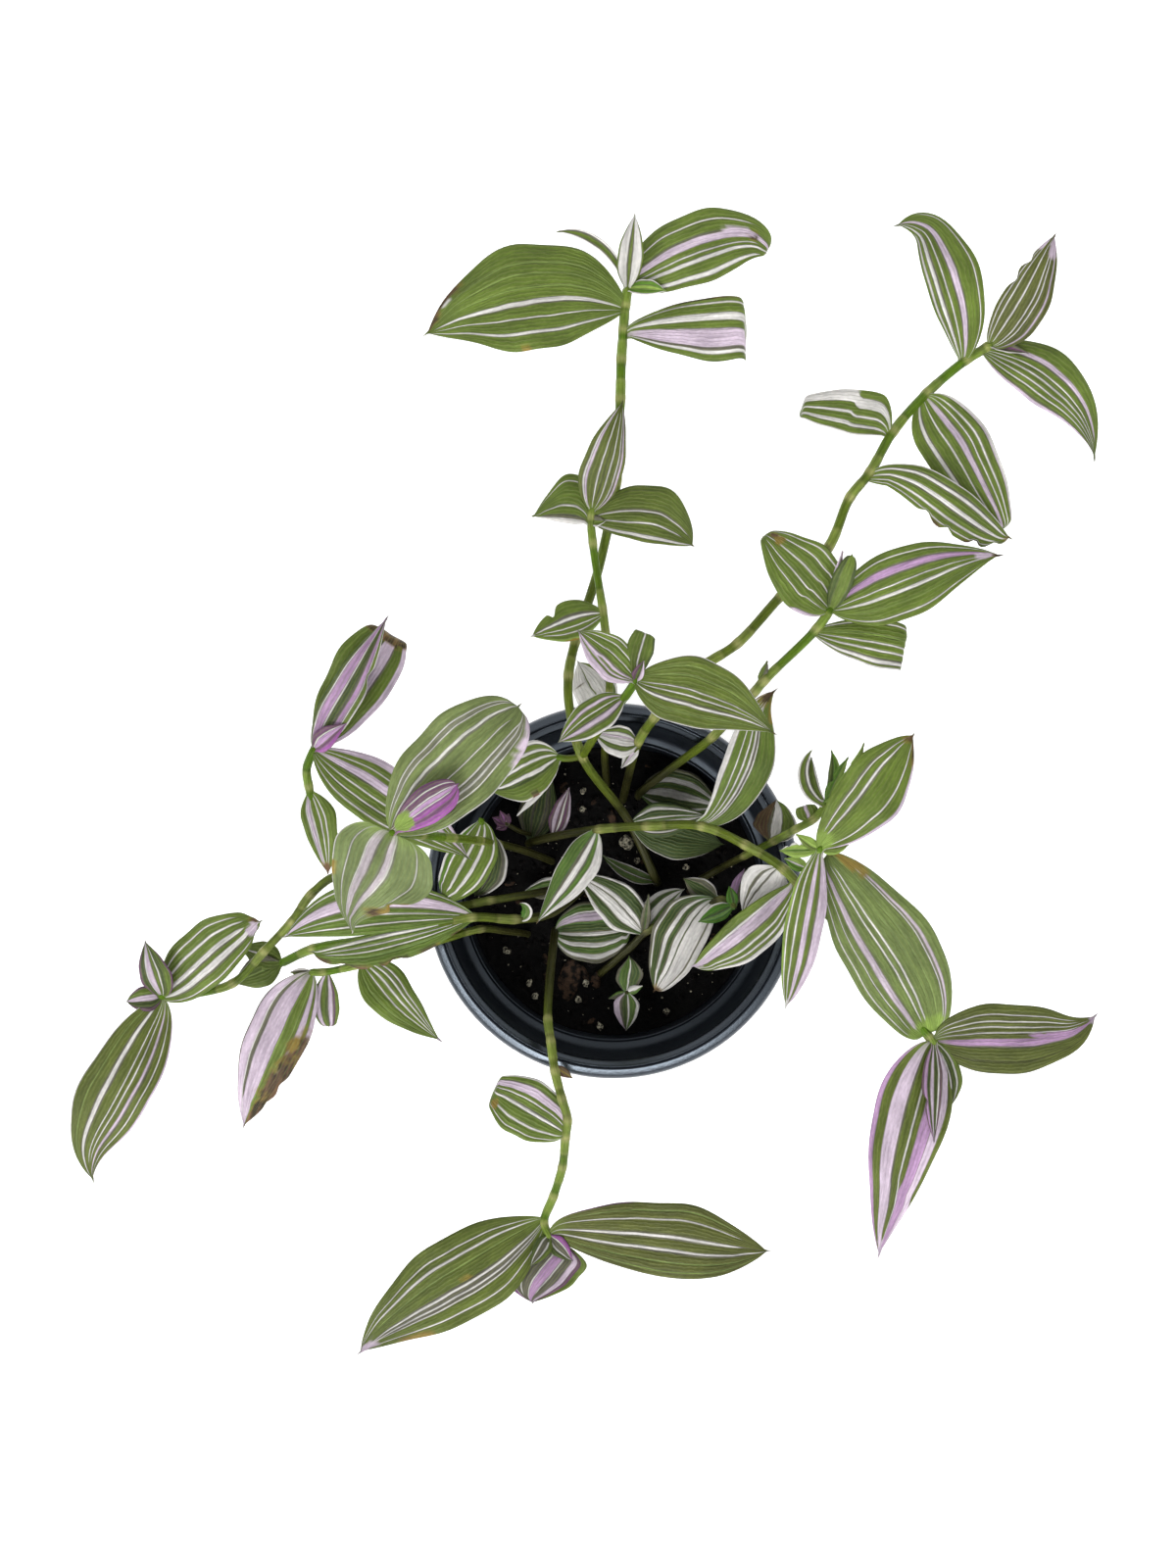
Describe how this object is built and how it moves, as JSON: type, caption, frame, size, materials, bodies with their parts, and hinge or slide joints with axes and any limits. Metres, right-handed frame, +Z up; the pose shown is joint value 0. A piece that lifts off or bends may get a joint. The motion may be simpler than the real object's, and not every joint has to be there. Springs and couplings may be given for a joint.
{
  "type": "potted tradescantia",
  "caption": "Trailing house plant with long striped leaves on jointed stems, growing over the rim of a round tapered nursery pot filled with potting mix.",
  "frame": {"origin": "centre of the pot's flat base, where it stands", "axes": "+Z up along the pot's axis, +X towards the side with the longest right-hand shoot, +Y towards the long straight shoot"},
  "size_m": [0.3499, 0.3725, 0.1925],
  "materials": {
    "pot": "moulded black plastic, soft gloss",
    "soil": "damp dark potting mix with perlite and bark",
    "foliage": "fleshy leaves and stems, satin"
  },
  "bodies": {
    "root": {"pot": "pot", "soil": "soil", "shoot_north_long": "foliage", "shoot_north_short": "foliage", "shoot_north_east_long": "foliage", "shoot_east_north": "foliage", "shoot_east": "foliage", "shoot_east_inner": "foliage", "shoot_centre": "foliage", "shoot_south": "foliage", "shoot_west_low": "foliage", "shoot_west": "foliage", "shoot_north_west": "foliage", "shoot_west_inner": "foliage", "shoot_bud": "foliage", "shoot_plantlet": "foliage"}
  },
  "joints": []
}
